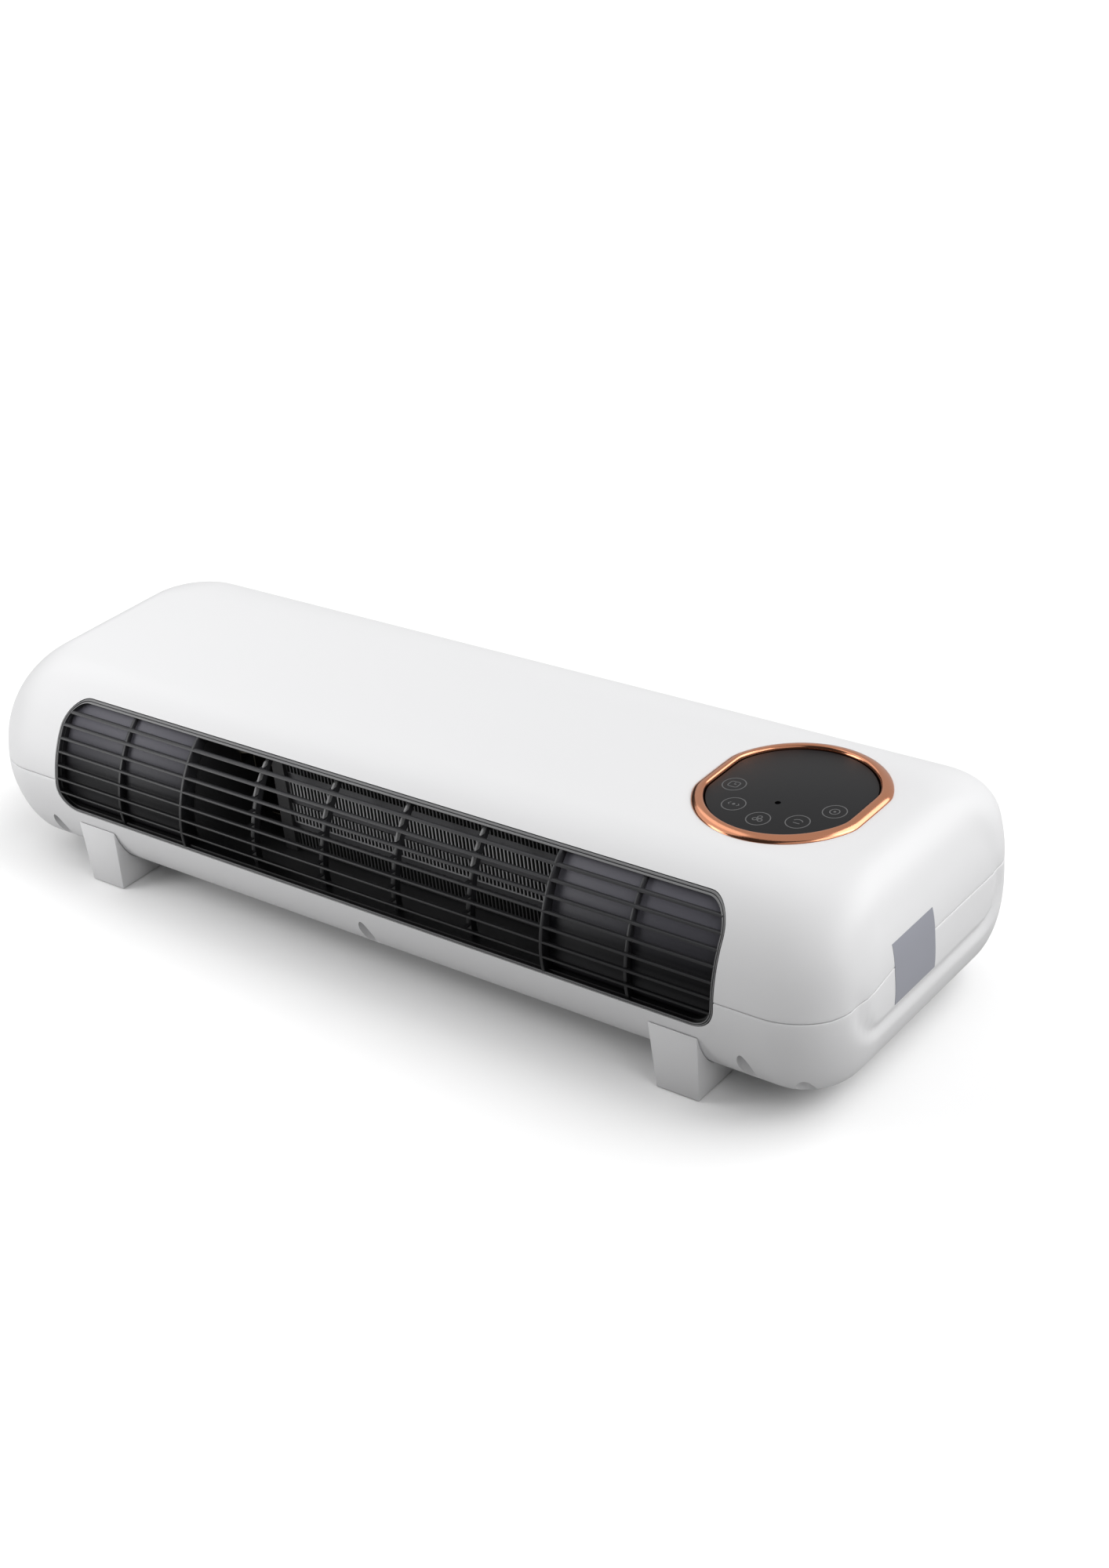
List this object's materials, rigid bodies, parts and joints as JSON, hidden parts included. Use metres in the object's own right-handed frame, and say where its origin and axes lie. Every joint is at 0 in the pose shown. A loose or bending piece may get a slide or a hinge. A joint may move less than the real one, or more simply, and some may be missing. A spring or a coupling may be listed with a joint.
{
  "type": "wall-mounted fan heater",
  "caption": "Slim white wall-mounted fan heater lying on its back, with a curved dark outlet grille, a round touch panel in a copper-coloured ring and detachable feet.",
  "frame": {"origin": "under the middle of the heater, on the surface that its feet stand on", "axes": "+X along the length, towards the end with the touch panel; +Y towards the air intake side, which is up when the heater hangs on a wall; +Z out of the front face, away from the wall"},
  "size_m": [0.48, 0.155, 0.0962],
  "materials": {
    "white_shell": "glossy white moulding",
    "white_grille": "satin white moulding",
    "dark_grille": "satin dark grey moulding",
    "blank_panel": "satin dark grey sheet",
    "filter_net": "fine dark net",
    "copper_trim": "copper coloured plating",
    "panel_glass": "smoked glass",
    "panel_frame": "heat-proof dark moulding",
    "steel_screw": "zinc plated",
    "circuit_board": "green solder mask",
    "spring_metal": "sprung metal",
    "black_part": "satin black",
    "grey_duct": "matt grey moulding",
    "fin_metal": "bare folded sheet",
    "tube_metal": "bare tube",
    "terminal_metal": "bare metal",
    "fuse_body": "glazed",
    "wheel_plastic": "matt moulding",
    "shaft_steel": "ground steel",
    "stator_steel": "stacked sheets",
    "copper_wire": "enamelled wire",
    "bracket_metal": "pressed sheet",
    "bush_bronze": "sintered",
    "black_rubber": "soft",
    "relay_case": "glossy",
    "capacitor_case": "glossy",
    "transformer_tape": "taped core",
    "grey_part": "matt",
    "rocker_cap": "satin black cap",
    "label_foil": "silver grey foil"
  },
  "bodies": {
    "housing": {"front_cover": "white_shell", "rear_cover": "white_shell", "outlet_grille": "dark_grille", "blank_left": "blank_panel", "blank_right": "blank_panel", "intake_grille": "white_grille", "dust_filter": "filter_net", "copper_ring": "copper_trim", "touch_glass": "panel_glass", "glass_carrier": "panel_frame", "panel_screws": "steel_screw", "touch_board": "circuit_board", "touch_pads": "spring_metal", "display_module": "black_part", "ir_receiver": "black_part", "scroll_guide": "grey_duct", "duct_ceiling": "grey_duct", "plate_left": "grey_duct", "plate_right": "grey_duct", "core_fins": "fin_metal", "core_tubes": "tube_metal", "core_rails": "fin_metal", "core_end_left": "panel_frame", "core_end_right": "panel_frame", "core_terminals": "terminal_metal", "thermostat": "terminal_metal", "thermal_fuse": "fuse_body", "motor_stator": "stator_steel", "motor_coils": "copper_wire", "bracket_inner": "bracket_metal", "bracket_outer": "bracket_metal", "motor_screws": "steel_screw", "bearing_bush": "bush_bronze", "bearing_rubber": "black_rubber", "power_board": "circuit_board", "relays": "relay_case", "capacitor": "capacitor_case", "transformer": "transformer_tape", "terminal_block": "grey_part", "board_screws": "steel_screw", "switch_body": "black_part", "cord_gland": "black_part", "cord_clamp": "grey_part", "clamp_screws": "steel_screw", "housing_screws": "steel_screw", "rating_label": "label_foil"},
    "blower": {"blower_wheel": "wheel_plastic", "motor_shaft": "shaft_steel", "end_pin": "shaft_steel", "motor_rotor": "shaft_steel"},
    "rocker": {"power_rocker": "rocker_cap"},
    "left_foot": {"left_foot": "white_shell", "left_foot_pads": "black_rubber"},
    "right_foot": {"right_foot": "white_shell", "right_foot_pads": "black_rubber"}
  },
  "joints": [
    {"name": "blower_spin", "type": "hinge", "parent": "housing", "child": "blower", "pos_m": [0, 0.014, 0.0527], "axis": [1, 0, 0], "continuous": true},
    {"name": "rocker_tilt", "type": "hinge", "parent": "housing", "child": "rocker", "pos_m": [-0.2346, 0.02, 0.0377], "axis": [0, 0, 1], "range_deg": [0, 16]},
    {"name": "left_foot_slide", "type": "slide", "parent": "housing", "child": "left_foot", "axis": [0, -1, 0], "range_m": [0, 0.014]},
    {"name": "right_foot_slide", "type": "slide", "parent": "housing", "child": "right_foot", "axis": [0, -1, 0], "range_m": [0, 0.014]}
  ]
}
